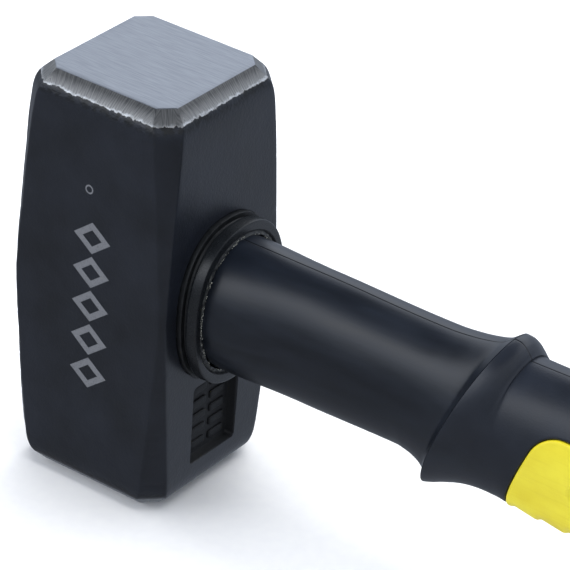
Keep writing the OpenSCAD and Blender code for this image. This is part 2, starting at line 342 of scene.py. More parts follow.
painted_reflection_band = put(math_node, put(span, on_corner, 0.1, 0.2, 0.0, 0.7), put(span, depth, 0.8, 3.4),
            operation="MAXIMUM")
bevel_painted_light_and_shade = put(blend, painted_reflection_band, into={6: bevel_painted_light_and_shade, 7: painted_reflection_tone}, data_type="RGBA", out=2)
rim = put(math_node, rim, put(span, grain(put, place, 1.8, 3), 0.38, 0.6, 0.1, 0.8), operation="MULTIPLY")
steel_tone = put(blend, rim, into={6: bevel_painted_light_and_shade, 7: srgb("dfe2e6")}, data_type="RGBA", out=2)
steel_tone = put(blend, on_flat, into={6: steel_tone, 7: flat_tone}, data_type="RGBA", out=2)

# A generic etched motif on one cheek: a column of plain diamonds under a small ring.
MOTIF_AT = (1.0, 0, 53.0)
MOTIF_PITCH, MOTIF_HALF_W, MOTIF_ROWS = 9.4, 5.6, 5
RING_AT = (-0.4, 0, 84.6)
seen = put("ShaderNodeMapping", place, into={
    "Location": MOTIF_AT, "Scale": (MOTIF_HALF_W, 1, MOTIF_PITCH)}, vector_type="TEXTURE")
side, up = [put("ShaderNodeSeparateXYZ", seen, out=axis) for axis in "XZ"]
reach = put(math_node, put(math_node, up, 0.5, operation="PINGPONG"), 2.15,
            put(math_node, side, operation="ABSOLUTE"), operation="MULTIPLY_ADD")
diamond = put(math_node, put(span, reach, 1.0, 0.97), put(span, reach, 0.5, 0.53), operation="MULTIPLY")
rows = put(span, put(math_node, up, operation="ABSOLUTE"), MOTIF_ROWS / 2, MOTIF_ROWS / 2 - 0.01)
diamond = put(math_node, diamond, rows, operation="MULTIPLY")
off_ring = put("ShaderNodeVectorMath", put("ShaderNodeVectorMath", place, (1, 0, 1), operation="MULTIPLY"),
               RING_AT, operation="DISTANCE", out=1)
ring = put(math_node, put(span, off_ring, 1.25, 1.15), put(span, off_ring, 0.75, 0.85), operation="MULTIPLY")
mark = put(math_node, diamond, ring, operation="MAXIMUM")
mark = put(math_node, mark, put(math_node, place_y, -20.0, operation="LESS_THAN"), operation="MULTIPLY")
mark = put(math_node, mark, put(span, grain(put, place, 0.35, 1), 0.25, 0.5, 0.75, 1.0), operation="MULTIPLY")

cloud = grain(put, place, 14, 3)
paint_tone = put(blend, put(span, cloud, 0.3, 0.7), into={6: srgb("12151b"), 7: srgb("1a1e27")},
                 data_type="RGBA", out=2)
thick = put(math_node, put(span, depth, 5.6, 4.2), put(span, grain(put, place, 2.2, 3), 0.42, 0.55),
            operation="MULTIPLY")
# The sunk panel gets a near-black tone, painted shade in the recess, and a duller coat.
out_y = put(math_node, place_y, operation="ABSOLUTE")
out_y = put(math_node, out_y, 1 / (PANEL_HALF_W + 0.4), operation="MULTIPLY")
out_z = put(math_node, put(math_node, place_z, PANEL_Z, operation="SUBTRACT"), operation="ABSOLUTE")
out_z = put(math_node, out_z, 1 / (PANEL_HALF_H + 0.4), operation="MULTIPLY")
pocket = put(span, put(math_node, out_y, out_z, operation="MAXIMUM"), 1.0, 0.98)
pocket = put(math_node, pocket, put(span, place_x, PANEL_RIM - 0.2, PANEL_RIM - 0.7), operation="MULTIPLY")
pocket = put(math_node, pocket, put(math_node, place_x, 19.0, operation="GREATER_THAN"), operation="MULTIPLY")
# Painted shade in the panel, joined with the darker spots of thick paint just past the paint's edge.
panel_shade_and_thick_paint = put(math_node, pocket, thick, operation="MAXIMUM")
paint_tone = put(blend, panel_shade_and_thick_paint, into={6: paint_tone, 7: srgb("06080b")}, data_type="RGBA", out=2)
paint_gloss = put(blend, pocket, into={2: put(span, cloud, 0.3, 0.7, 0.3, 0.38), 3: 0.6})
paint_tone = put(blend, mark, into={6: paint_tone, 7: srgb("6b6d72")}, data_type="RGBA", out=2)
tone = put(blend, paint, into={6: steel_tone, 7: paint_tone}, data_type="RGBA", out=2)
gloss = put(blend, paint, into={2: put(span, ground, 0.3, 0.7, 0.36, 0.46), 3: paint_gloss})
steel_relief = put(blend, on_flat, into={2: ground, 3: brushed})
steel_relief = put(math_node, steel_relief, 0.02, operation="MULTIPLY")
paint_relief = put(math_node, grain(put, place, 0.7, 3), 0.045, operation="MULTIPLY")
near_edge = put(span, depth, 8.0, 3.5, 0.0, 0.12)
paint_relief = put(math_node, grain(put, place, 0.9, 3), near_edge, paint_relief, operation="MULTIPLY_ADD")
relief = put(blend, paint, into={2: steel_relief, 3: paint_relief})
wear(shader, put, tone, gloss, relief)
enamel.node_tree.links.new(put(math_node, 1.0, paint, operation="SUBTRACT"), shader.inputs["Metallic"])
head.data.materials.clear()
head.data.materials.append(enamel)

bars = grow_nodes("head_panel_bars", bar_grid, {
    "Columns": 2, "Rows": 5, "Bar length": 6.0 * MM, "Bar height": 2.2 * MM, "Bar rise": 1.0 * MM,
    "Column pitch": 7.4 * MM, "Row pitch": 3.9 * MM,
    "Middle": (PANEL_FLOOR * MM, 0, PANEL_Z * MM), "Material": enamel})
for piece in (head, bars):
    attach(piece, "root")
    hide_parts("head")

# ---- Resin in the far end of the eye --------------------------------------------------------
# Two-part epoxy poured in at the far eye face to lock the core. It cures dark and glossy, with
# a surface that climbs a little at the wall.
RESIN_X = -22.3
dish = [(RESIN_X + 0.55 * (1 - s ** 6), EYE_H * s, EYE_W * s)
        for s in (0.02, 0.15, 0.3, 0.45, 0.6, 0.72, 0.82, 0.9, 0.95, 0.985, 1.0)]
resin = oval_loft("eye_resin_fill", dish + [(-12, EYE_H, EYE_W)], power=2.25)
for vertex in resin.data.vertices:
    inside = vertex.co / MM
    if inside.x < RESIN_X + 0.6:
        vertex.co.x += noise.noise(inside / 5) * 0.25 * MM
epoxy, put, shader, place = start_material("dark_cured_epoxy")
swirl = grain(put, place, 4, 3)
tone = put(blend, put(span, swirl, 0.35, 0.7), into={6: srgb("16130f"), 7: srgb("2b241b")},
           data_type="RGBA", out=2)
wear(shader, put, tone, put(span, swirl, 0.3, 0.7, 0.12, 0.24),
     put(math_node, grain(put, place, 1.6, 2), 0.06, operation="MULTIPLY"))
resin.data.materials.append(epoxy)
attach(resin, "root")
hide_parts("eye_resin")

# ---- Core -----------------------------------------------------------------------------------
# Pultruded glass fibre and polyester bar, straw coloured, with its strands along the handle.
# It runs inside everything else, so the CAD solid stays and takes a fibre finish.
fibreglass, put, shader, place = start_material("pultruded_fibreglass")
strands = grain(put, place, 0.5, 3, stretch=(40, 1, 1))
tone = put(blend, put(span, strands, 0.3, 0.7), into={6: srgb("b49a55"), 7: srgb("e0cf95")},
           data_type="RGBA", out=2)
wear(shader, put, tone, put(span, strands, 0.3, 0.7, 0.3, 0.45),
     put(math_node, strands, 0.05, operation="MULTIPLY"))
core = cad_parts["core"]
core.data.materials.clear()
core.data.materials.append(fibreglass)

# ---- Seal and collar ------------------------------------------------------------------------
# A moulded rubber seal sits in the seat round the eye, flange against the head and neck under
# the collar. The collar is a moulded nylon ring pushed up the shaft, with rounded rims.
RING_POWER = 2.3              # a little squarer than an ellipse


def oval_ring(name, section, inner, outer, steps=220):
    """A closed ring: section points (x, share from the inner to the outer oval) swept round."""
    pts = []
    for k in range(steps):
        a = 2 * math.pi * k / steps
        c, s = math.cos(a), math.sin(a)
        grow = (abs(c) ** RING_POWER + abs(s) ** RING_POWER) ** (-1 / RING_POWER)
        for x, share in section:
            h, w = [i + (o - i) * share for i, o in zip(inner, outer)]
            pts.append((x, -w / 2 * s * grow, MID_Z + h / 2 * c * grow))
    n = len(section)
    faces = [(j * n + i, j * n + (i + 1) % n, (j + 1) % steps * n + (i + 1) % n, (j + 1) % steps * n + i)
             for j in range(steps) for i in range(n)]
    return mesh_piece(name, pts, faces, sharp=50)


def outward(piece):
    """Merges doubled points and turns every face outwards."""
    shell = bmesh.new()
    shell.from_mesh(piece.data)
    bmesh.ops.remove_doubles(shell, verts=shell.verts, dist=1e-7)
    bmesh.ops.recalc_face_normals(shell, faces=shell.faces)
    shell.to_mesh(piece.data)
    shell.free()
    return piece


def closed_line(points, radii, steps=4):
    """A closed outline with rounded corners."""
    middle = [(np.array(points[-1], float) + points[0]) / 2]
    return rounded_line(middle + list(points) + middle, radii, steps)[:-1]


SEAL_IN, SEAL_OUT = (30.6, 22.6), (43.2, 34.8)
NECK = (40.6 - 30.6) / (43.2 - 30.6)
seal = outward(oval_ring("eye_seal_ring", closed_line(
    [(SEAT_X, 0), (SEAT_X, 1), (SEAT_X + 1.5, 1), (SEAT_X + 1.5, NECK), (SEAT_X + 2.8, NECK),
     (SEAT_X + 2.8, 0)],
    [0.01, 0.04, 0.04, 0.03, 0.01, 0.01]), SEAL_IN, SEAL_OUT))
COLLAR_X, COLLAR_T = 25.6, 3.1
COLLAR_IN, COLLAR_OUT = (35.4, 29.8), (42.2, 34.8)
collar = outward(oval_ring("collar_ring", closed_line(
    [(COLLAR_X, 0), (COLLAR_X, 1), (COLLAR_X + 0.5, 1.03), (COLLAR_X + COLLAR_T, 0.97),
     (COLLAR_X + COLLAR_T, 0.3), (COLLAR_X + 2.2, 0)],
    [0.01, 0.1, 0.2, 0.22, 0.12, 0.1], steps=6), COLLAR_IN, COLLAR_OUT))

# Moulded nylon and rubber: satin black with a fine spark-eroded grain.
nylon, put, shader, place = start_material("moulded_black_nylon")
spark = grain(put, place, 0.35, 2)
tone = put(blend, put(span, grain(put, place, 6), 0.3, 0.7), into={6: srgb("0e1013"), 7: srgb("15181b")},
           data_type="RGBA", out=2)
wear(shader, put, tone, put(span, spark, 0.3, 0.7, 0.26, 0.34),
     put(math_node, spark, 0.012, operation="MULTIPLY"))
rubber, put, shader, place = start_material("moulded_black_rubber")
dust = grain(put, place, 2.5, 4)
tone = put(blend, put(span, dust, 0.35, 0.75), into={6: srgb("101214"), 7: srgb("1c1e20")},
           data_type="RGBA", out=2)
wear(shader, put, tone, put(span, dust, 0.3, 0.7, 0.42, 0.58),
     put(math_node, grain(put, place, 0.5), 0.015, operation="MULTIPLY"))
for piece, finish, slot, node in ((seal, rubber, "seal_rubber", "eye_seal"),
                                  (collar, nylon, "collar_black", "collar")):
    piece.data.materials.append(finish)
    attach(piece, "root")
    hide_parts(node)

# ---- Adhesive bead --------------------------------------------------------------------------
# Adhesive squeezed out between collar and shaft: a thin dark uneven bead, with pale crumbs
# where it has dried and broken.
SHAFT_H, MOUTH_W = 35.0, 29.4
bead = outward(oval_ring("adhesive_bead_ring", closed_line(
    [(COLLAR_X + 0.4, 0), (COLLAR_X + 0.4, 1), (COLLAR_X + 2.5, 1), (COLLAR_X + 3.0, 0.35),
     (COLLAR_X + 3.0, 0)],
    [0.02, 0.02, 0.2, 0.15, 0.1]), (SHAFT_H - 0.6, MOUTH_W - 0.6), (SHAFT_H + 1.6, MOUTH_W + 1.6), steps=480))
for vertex in bead.data.vertices:
    where = vertex.co / MM
    if where.x > COLLAR_X + 1.5:
        vertex.co.x += noise.noise(where / 0.9) * 0.22 * MM

crumbs = bpy.data.node_groups.new("crumbs_round_shaft", "GeometryNodeTree")
crumbs.interface.new_socket("Geometry", in_out="OUTPUT", socket_type="NodeSocketGeometry")
for label, kind in (("Crumbs", "Int"), ("Smallest", "Float"), ("Largest", "Float"), ("Oval", "Vector"),
                    ("Middle", "Vector"), ("Share", "Float"), ("Seed", "Int"), ("Material", "Material")):
    crumbs.interface.new_socket(label, in_out="INPUT", socket_type="NodeSocket" + kind)
put = partial(add, crumbs)
given = crumbs.nodes.new("NodeGroupInput").outputs
circle = put("GeometryNodeCurvePrimitiveCircle", into={"Resolution": 128, "Radius": 1.0})
oval = put("GeometryNodeTransform", circle, into={"Scale": given["Oval"]})
oval = put("GeometryNodeTransform", oval, into={
    "Translation": given["Middle"], "Rotation": (math.pi / 2, 0, math.pi / 2)})
spots = put("GeometryNodeCurveToPoints", oval, into={"Count": given["Crumbs"]})
clump = put("ShaderNodeTexNoise", into={
    "Vector": put("GeometryNodeInputPosition"), "Scale": 420.0, "Detail": 1.0})
bare = put("FunctionNodeCompare", clump, given["Share"], data_type="FLOAT", operation="GREATER_THAN")
spots = put("GeometryNodeDeleteGeometry", spots, bare)
stray = put("FunctionNodeRandomValue", (-0.00018, -0.00018, -0.00018), (0.00018, 0.00018, 0.00018),
            into={"Seed": given["Seed"]}, data_type="FLOAT_VECTOR")
spots = put("GeometryNodeSetPosition", spots, into={"Offset": stray})
lump = put("GeometryNodeMeshIcoSphere", 1.0, 1)
girth = put("FunctionNodeRandomValue", into={
    2: given["Smallest"], 3: given["Largest"], "Seed": given["Seed"]}, out=1)
roll = put("FunctionNodeRandomValue", (0.0, 0.0, 0.0), (6.28, 6.28, 6.28), into={"Seed": given["Seed"]},
           data_type="FLOAT_VECTOR")
laid = put("GeometryNodeInstanceOnPoints", spots, into={"Instance": lump, "Rotation": roll, "Scale": girth})
whole = put("GeometryNodeRealizeInstances", laid)
put("NodeGroupOutput", put("GeometryNodeSetMaterial", whole, into={"Material": given["Material"]}))

glue, put, shader, place = start_material("dried_adhesive")
dry = grain(put, place, 0.9, 3)
tone = put(blend, put(span, dry, 0.5, 0.75), into={6: srgb("17191b"), 7: srgb("4a4c4a")},
           data_type="RGBA", out=2)
wear(shader, put, tone, put(span, dry, 0.3, 0.7, 0.3, 0.5), put(math_node, dry, 0.05, operation="MULTIPLY"))
bead.data.materials.append(glue)
crumb, put, shader, place = start_material("pale_adhesive_crumb")
dry = grain(put, place, 0.4, 3)
tone = put(blend, put(span, dry, 0.3, 0.7), into={6: srgb("6d6e69"), 7: srgb("b4b5ae")},
           data_type="RGBA", out=2)
wear(shader, put, tone, put(span, dry, 0.3, 0.7, 0.4, 0.6), put(math_node, dry, 0.03, operation="MULTIPLY"))
flakes = grow_nodes("adhesive_crumbs", crumbs, {
    "Crumbs": 620, "Smallest": 0.06 * MM, "Largest": 0.17 * MM,
    "Oval": ((MOUTH_W / 2 + 0.35) * MM, (SHAFT_H / 2 + 0.35) * MM, 1),
    "Middle": ((COLLAR_X + 2.95) * MM, 0, MID_Z * MM),
    "Share": 0.5, "Seed": 7, "Material": crumb})
for piece in (bead, flakes):
    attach(piece, "root")
    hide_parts("adhesive_bead")

# ---- Jacket ---------------------------------------------------------------------------------
# Hard polypropylene moulded over the core: an oval shaft that narrows past the collar and then
# flares into the front of the guard. The two mould halves leave a line along top and bottom.
SHAFT_W = 25.6
SHAFT_X = COLLAR_X + COLLAR_T
GUARD_X, GUARD_H, GUARD_W, LEAN = 97.0, 45.0, 32.4, 0.38
SHOULDER_L, FLARE, DROP = 23.0, 17.0, 0.8


def ease(t):
    return (1 - math.cos(math.pi * t)) / 2


def through(x, xs, ys):
    """A smooth curve through the points, with no overshoot between them."""
    xs, ys = np.array(xs, float), np.array(ys, float)
    gap = np.diff(xs)
    slope = np.diff(ys) / gap
    tangent = np.zeros(len(xs))
    same = slope[:-1] * slope[1:] > 0
    tangent[1:-1][same] = (2 * slope[:-1] * slope[1:])[same] / (slope[:-1] + slope[1:])[same]
    tangent[0], tangent[-1] = slope[0], slope[-1]
    k = np.clip(np.searchsorted(xs, x) - 1, 0, len(gap) - 1)
    t = np.clip((x - xs[k]) / gap[k], 0, 1)
    return (ys[k] * (1 + 2 * t) * (1 - t) ** 2 + ys[k + 1] * t * t * (3 - 2 * t)
            + gap[k] * (tangent[k] * t * (1 - t) ** 2 - tangent[k + 1] * t * t * (1 - t)))


def handle_skin(rings, station, turn):
    """Points of the handle's surface at stations along it and angles down from its top."""
    rings = np.array(rings)
    half_h, half_w, lift, lean = [through(station, rings[:, 0], rings[:, i]) for i in (1, 2, 3, 4)]
    rise = half_h * np.cos(turn)
    return np.stack([station + lean * rise, -half_w * np.sin(turn), MID_Z + lift + rise], -1)


shaft_rings = [(COLLAR_X, SHAFT_H / 2, MOUTH_W / 2, 0, 0)]
for t in (0, 0.25, 0.5, 0.75, 1):
    shaft_rings.append((SHAFT_X + 1 + SHOULDER_L * t, SHAFT_H / 2,
                        (MOUTH_W + (SHAFT_W - MOUTH_W) * ease(t)) / 2, 0, 0))
for t in (0, 0.35, 0.6, 0.78, 0.91, 1):
    flare = 1 - math.sqrt(1 - t * t)
    shaft_rings.append((GUARD_X - FLARE * (1 - t), (SHAFT_H - 1 + (GUARD_H - SHAFT_H + 1) * flare) / 2,
                        (SHAFT_W + (GUARD_W - SHAFT_W) * flare) / 2, -DROP * t, LEAN * t))

# Points crowd towards the mould line at top and bottom, so that it can be cut into the surface.
TURNS = 320
turn = np.linspace(0, 2 * np.pi, TURNS, endpoint=False)
turn = turn - 0.4 * np.sin(2 * turn)
stations = np.concatenate([np.arange(COLLAR_X + 0.3, 80, 0.8), np.arange(80, 94, 0.4),
                           np.arange(94, GUARD_X - 0.1, 0.2)])
grid_x, grid_turn = np.meshgrid(stations, turn, indexing="ij")
shaft = handle_skin(shaft_rings, grid_x, grid_turn)
lips = []                     # the rim rolls over to the joint with the grip
crest = handle_skin(shaft_rings, np.full(TURNS, GUARD_X), turn)
middle = np.array([GUARD_X, 0, MID_Z - DROP])
for out, back in ((0.0, -0.02), (0.12, 0.1), (0.35, 0.16), (1.2, 0.16)):
    inward = crest - middle
    inward /= np.linalg.norm(inward, axis=1)[:, None]
    lips.append(crest - inward * out + np.array([back, 0, 0]))
shaft = np.concatenate([shaft, np.array(lips)])
MOULD_LINE = 0.09             # depth of the mould line
shaft[..., 2] -= MOULD_LINE * np.exp(-(shaft[..., 1] / 0.14) ** 2) * np.sign(shaft[..., 2] - MID_Z)
jacket = outward(mesh_piece("jacket_shaft", shaft.reshape(-1, 3), ring_faces(len(shaft), TURNS), sharp=40))

# Moulded polypropylene: satin blue-black, faint flow marks along the shaft, a dark mould line.
polypropylene, put, shader, place = start_material("moulded_satin_polypropylene")
place_y = put("ShaderNodeSeparateXYZ", place, out="Y")
flow = grain(put, place, 3, 3, stretch=(6, 1, 1))
fine = grain(put, place, 0.4, 3)
tone = put(blend, put(span, flow, 0.3, 0.7), into={6: srgb("0e1219"), 7: srgb("151a23")},
           data_type="RGBA", out=2)
line = put(span, put(math_node, place_y, operation="ABSOLUTE"), 0.24, 0.1)
tone = put(blend, line, into={6: tone, 7: srgb("08090b")}, data_type="RGBA", out=2)
wear(shader, put, tone, put(span, flow, 0.3, 0.7, 0.31, 0.38),
     put(math_node, fine, 0.012, put(math_node, flow, 0.03, operation="MULTIPLY"), operation="MULTIPLY_ADD"))
jacket.data.materials.append(polypropylene)
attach(jacket, "root")
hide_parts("jacket")

# ---- Grip -----------------------------------------------------------------------------------
# Soft thermoplastic rubber moulded over the jacket, from the back of the guard to the butt. It
# holds a sunk pocket for the yellow insert, which covers both flanks and wraps the belly.
HEEL, GRIP_H, GRIP_W, PALM_W = 14.0, 38.2, 26.6, 29.0
CAP_X, BUTT_X, BUTT_H, BUTT_W = 219.1, 236.7, 43.0, 30.0
PALM_X = (GUARD_X + CAP_X) / 2 + 6
heel_x = GUARD_X + HEEL
grip_rings = []
for t in (0, 0.12, 0.3, 0.5, 0.75, 1):
    grip_rings.append((GUARD_X + HEEL * t, (GUARD_H + (GRIP_H - 1 - GUARD_H) * ease(t)) / 2,
                       (GUARD_W + (GRIP_W + 1 - GUARD_W) * ease(t)) / 2, -DROP, LEAN * (1 - t * t)))
for t in (0.3, 0.6, 1):
    grip_rings.append((heel_x + (PALM_X - heel_x) * t, (GRIP_H - 1 + min(1, 2 * t)) / 2,
                       (GRIP_W + (PALM_W - GRIP_W) * ease(t)) / 2, -DROP, 0))
for t in (0.35, 0.65, 1):
    grip_rings.append((PALM_X + (CAP_X - PALM_X) * t, (GRIP_H + (BUTT_H - 3 - GRIP_H) * t ** 3) / 2,
                       (PALM_W + (BUTT_W - 1.5 - PALM_W) * t * t) / 2, -DROP, 0))

# The belly draws in behind the guard and then fills out under the fingers: how far it comes in,
# by distance behind the guard's crest.
BELLY = ((0, 0), (1.7, 0.6), (4.2, 1.5), (7, 1.9), (10.5, 1.3), (14, 0.4), (18, -0.5), (30, -0.8), (67, -0.9),
         (CAP_X - GUARD_X, 0))
rough_rings = np.array(grip_rings)
grip_rings = []
for x in np.concatenate([np.arange(0, 24, 1.0), np.linspace(24, CAP_X - GUARD_X, 24)]) + GUARD_X:
    half_h, half_w, lift, lean = [float(through(np.array(x), rough_rings[:, 0], rough_rings[:, i]))
                                  for i in (1, 2, 3, 4)]
    draw_in = float(through(np.array(x - GUARD_X), *zip(*BELLY)))
    grip_rings.append((x, half_h - draw_in / 2, half_w, lift + draw_in / 2, lean))

# The insert's outline, seen from the side: a leaning front edge and rounded upper corners.
INSERT_TOP, INSERT_R = MID_Z + 9.2, 8.6
CORNER_Z = INSERT_TOP - INSERT_R
CORNER_X = (119 + LEAN * 0.6 + INSERT_R, CAP_X - 2 * INSERT_R)      # front and rear corner centres
SLANT = np.array([LEAN, 1]) / math.hypot(LEAN, 1)


def outline_x(z, end, radius):
    """Where the outline of that corner radius crosses height z, at the front (0) or rear (1)."""
    away = 1 if end else -1
    touch = np.array([SLANT[1], -SLANT[0]]) * away * radius
    straight = CORNER_X[end] + touch[0] + LEAN * (z - CORNER_Z - touch[1])
    arc = CORNER_X[end] + away * np.sqrt(np.maximum(radius ** 2 - (z - CORNER_Z) ** 2, 0))
    return np.where(z > CORNER_Z + radius, CORNER_X[end], np.where(z > CORNER_Z + touch[1], arc, straight))


def inside_outline(x, z):
    """Distance in from the insert's outline, negative outside it."""
    far = np.maximum(0, z - CORNER_Z)
    for end, away in ((0, -1), (1, 1)):
        dx, dz = (x - CORNER_X[end]) * away, z - CORNER_Z
        below = dx * SLANT[0] * away + dz * SLANT[1] < 0
        flat = dx * SLANT[1] - dz * SLANT[0] * away
        corner = np.where(dx > 0, np.hypot(dx, dz), 0)
        far = np.maximum(far, np.where(below, flat, corner))
    return INSERT_R - far


def grip_grid(columns, rows, radius):
    """Surface points on one flank; columns and rows follow the insert's outline.

    A column is (share from the grip's start or outline, segment) with a distance in millimetres
    kept from the outline; a row above the insert's top edge runs 0 to 1, below it 1 to 2.
    """
    share, segment, keep = [np.array(c, float)[:, None] for c in zip(*columns)]
    row = np.array(rows)[None, :]
    top = CORNER_Z + radius
    station = np.full((len(columns), len(rows)), 150.0)
    rings = np.array(grip_rings)
    for _ in range(8):
        half_h = through(station, rings[:, 0], rings[:, 1])
        lift = through(station, rings[:, 0], rings[:, 3])
        first = np.arccos(np.clip((top - MID_Z - lift) / half_h, -1, 1))
        turn = np.where(row < 1, row * first, first + (row - 1) * (np.pi - first))
        z = MID_Z + lift + half_h * np.cos(turn)
        front, rear = outline_x(z, 0, radius), outline_x(z, 1, radius)
        starts = np.where(segment == 0, GUARD_X, np.where(segment == 1, front, rear))
        ends = np.where(segment == 0, front, np.where(segment == 1, rear, CAP_X))
        shared = starts + (ends - starts) * share
        station = np.where(keep < 0, ends + keep, np.where(keep > 0, starts + keep, shared))
    return handle_skin(grip_rings, station, turn)


def spread(first, last, count):
    return list(np.linspace(first, last, count))


near = (0.12, 0.25, 0.4, 0.6, 0.85, 1.2)
columns = [(s, 0, 0) for s in spread(0, 0.94, 56)] + [(0, 0, -d) for d in near[::-1]]
columns += [(0, 1, 0)] + [(0, 1, d) for d in near] + [(s, 1, 0) for s in spread(0.02, 0.98, 70)]
columns += [(0, 1, -d) for d in near[::-1]]
columns += [(0, 2, 0)] + [(0, 2, d) for d in near] + [(s, 2, 0) for s in spread(0.2, 1, 18)]
rows = spread(0, 0.06, 9)[:-1] + spread(0.06, 0.955, 52) + [0.965, 0.975, 0.984, 0.991, 0.996, 1.0]
rows += [1.002, 1.005, 1.009, 1.014, 1.02] + spread(1.03, 1.97, 64) + spread(1.975, 2, 6)
flank = grip_grid(columns, rows, INSERT_R)


def surface_normals(grid):
    """Unit normals of a grid of points, pointing away from the handle's centre line."""
    n = np.cross(np.gradient(grid, axis=0), np.gradient(grid, axis=1))
    n[:, 0] = n[:, 1] * (1, 0, 1)
    n[:, -1] = n[:, -2] * (1, 0, 1)
    n /= np.maximum(np.linalg.norm(n, axis=2), 1e-9)[..., None]
    out = grid - np.array([0, 0, MID_Z - DROP])
    sign = np.sign((n[..., 1:] * out[..., 1:]).sum(2))
    return n * sign[..., None]


def both_flanks(grid, caps=True):
    """Rings all the way round, from the rows of one flank and their mirror image."""
    other = grid[:, -2:0:-1] * (1, -1, 1)
    return np.concatenate([grid, other], axis=1)


POCKET = 1.5                  # depth of the insert's bed
inset = inside_outline(flank[..., 0], flank[..., 2])
lip = np.clip((inset + 0.5) / 0.5, 0, 1)
sink = np.where(inset > 0, POCKET, 0.35 * (1 - np.sqrt(1 - np.minimum(lip, 0.999) ** 2)))
flank = flank - surface_normals(flank) * sink[..., None]
GRIP_LINE = 0.1
flank[..., 2] -= GRIP_LINE * np.exp(-(flank[..., 1] / 0.14) ** 2) * np.sign(flank[..., 2] - MID_Z)
wrap = both_flanks(flank)
start = wrap[0] + (middle - wrap[0]) * 0.02
front_rim = wrap[:1] + np.array([0.1, 0, 0]) - (wrap[:1] - middle) * 0.006
skin = np.concatenate([[start + np.array([0.12, 0, 0])], front_rim, wrap[1:]])
grip = outward(mesh_piece("grip_sleeve", skin.reshape(-1, 3), ring_faces(len(skin), skin.shape[1]), sharp=45))

# Moulded soft rubber: fine even grain, matt sheen, a faint mould line.
soft, put, shader, place = start_material("moulded_soft_rubber")
place_y = put("ShaderNodeSeparateXYZ", place, out="Y")
fine = grain(put, place, 0.45, 2)
patch = grain(put, place, 9, 3)
tone = put(blend, put(span, patch, 0.3, 0.7), into={6: srgb("141820"), 7: srgb("1b202a")},
           data_type="RGBA", out=2)
line = put(span, put(math_node, place_y, operation="ABSOLUTE"), 0.22, 0.1)
tone = put(blend, line, into={6: tone, 7: srgb("0a0b0e")}, data_type="RGBA", out=2)
wear(shader, put, tone, put(span, patch, 0.3, 0.7, 0.35, 0.42),
     put(math_node, fine, 0.03, put(math_node, patch, 0.06, operation="MULTIPLY"), operation="MULTIPLY_ADD"))
grip.data.materials.append(soft)
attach(grip, "root")
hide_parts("grip")

# ---- Grip insert ----------------------------------------------------------------------------
# A second shot of bright yellow soft rubber in the pocket, a touch proud of the black, with a
# row of oval dimples on each flank, shallow steps across the belly and faint lay lines.
CLEARANCE = 0.12
ROLL, PROUD = 0.7, 0.15       # edge radius, and rise over the black
DIMPLE_X, DIMPLE_Z, DIMPLE_PITCH, DIMPLES = 134.6, MID_Z - 1.8, 9.4, 8
DIMPLE_HALF = (3.5, 2.4)
STEP_X, STEP_PITCH, STEP_DEPTH = 121.2, 7.6, 0.6
columns = [(0, 1, 0)] + [(0, 1, d) for d in near] + [(s, 1, 0) for s in spread(0.018, 0.982, 210)]
columns += [(0, 1, -d) for d in near[::-1]] + [(1, 1, 0)]
rows = [1.0, 1.0025, 1.005, 1.008, 1.012, 1.017, 1.024] + spread(1.035, 2, 84)
flank = grip_grid(columns, rows, INSERT_R - CLEARANCE)
inset = inside_outline(flank[..., 0], flank[..., 2]) - CLEARANCE
roll = np.clip(1 - inset / ROLL, 0, 1)
rise = PROUD - (ROLL + 0.2) * (1 - np.sqrt(np.maximum(1 - roll ** 2, 0)))
nearest = np.clip(np.round((flank[..., 0] - DIMPLE_X) / DIMPLE_PITCH), 0, DIMPLES - 1)
off_x = (flank[..., 0] - DIMPLE_X - nearest * DIMPLE_PITCH) / DIMPLE_HALF[0]
off_z = (flank[..., 2] - DIMPLE_Z) / DIMPLE_HALF[1]
bowl = np.clip((1.12 - np.hypot(off_x, off_z)) / 0.3, 0, 1)
rise = rise - 0.55 * bowl * bowl * (3 - 2 * bowl)
lean_x = flank[..., 0] - LEAN * (flank[..., 2] - MID_Z + 18)
tooth = ((lean_x - STEP_X) / STEP_PITCH) % 1
tooth = np.minimum(tooth / 0.85, (1 - tooth) / 0.15)
belly = np.clip((MID_Z - 12.5 - flank[..., 2]) / 4, 0, 1) * np.clip(inset / 2.5, 0, 1)
rise = rise - STEP_DEPTH * (1 - tooth) * belly * belly * (3 - 2 * belly)
away = surface_normals(flank)
outer = flank + away * rise[..., None]
inner = flank - away * (POCKET - 0.1)


def wrapped(grid):
    """Both flanks in one sheet, from one top edge round the belly to the other."""
    return np.concatenate([grid, grid[:, -2::-1] * (1, -1, 1)], axis=1)


outer, inner = wrapped(outer), wrapped(inner)
long, wide = outer.shape[:2]
count = long * wide
faces = []
for j in range(long - 1):
    for i in range(wide - 1):
        quad = (j * wide + i, j * wide + i + 1, (j + 1) * wide + i + 1, (j + 1) * wide + i)
        faces += [quad, tuple(count + v for v in quad[::-1])]
edge_loop = [(j * wide, (j + 1) * wide) for j in range(long - 1)]
edge_loop += [((j + 1) * wide + wide - 1, j * wide + wide - 1) for j in range(long - 1)]
edge_loop += [(i + 1, i) for i in range(wide - 1)]
edge_loop += [((long - 1) * wide + i, (long - 1) * wide + i + 1) for i in range(wide - 1)]
faces += [(a, b, count + b, count + a) for a, b in edge_loop]
insert = outward(mesh_piece("grip_insert_patch", np.concatenate([outer.reshape(-1, 3), inner.reshape(-1, 3)]),
                            faces, sharp=55))
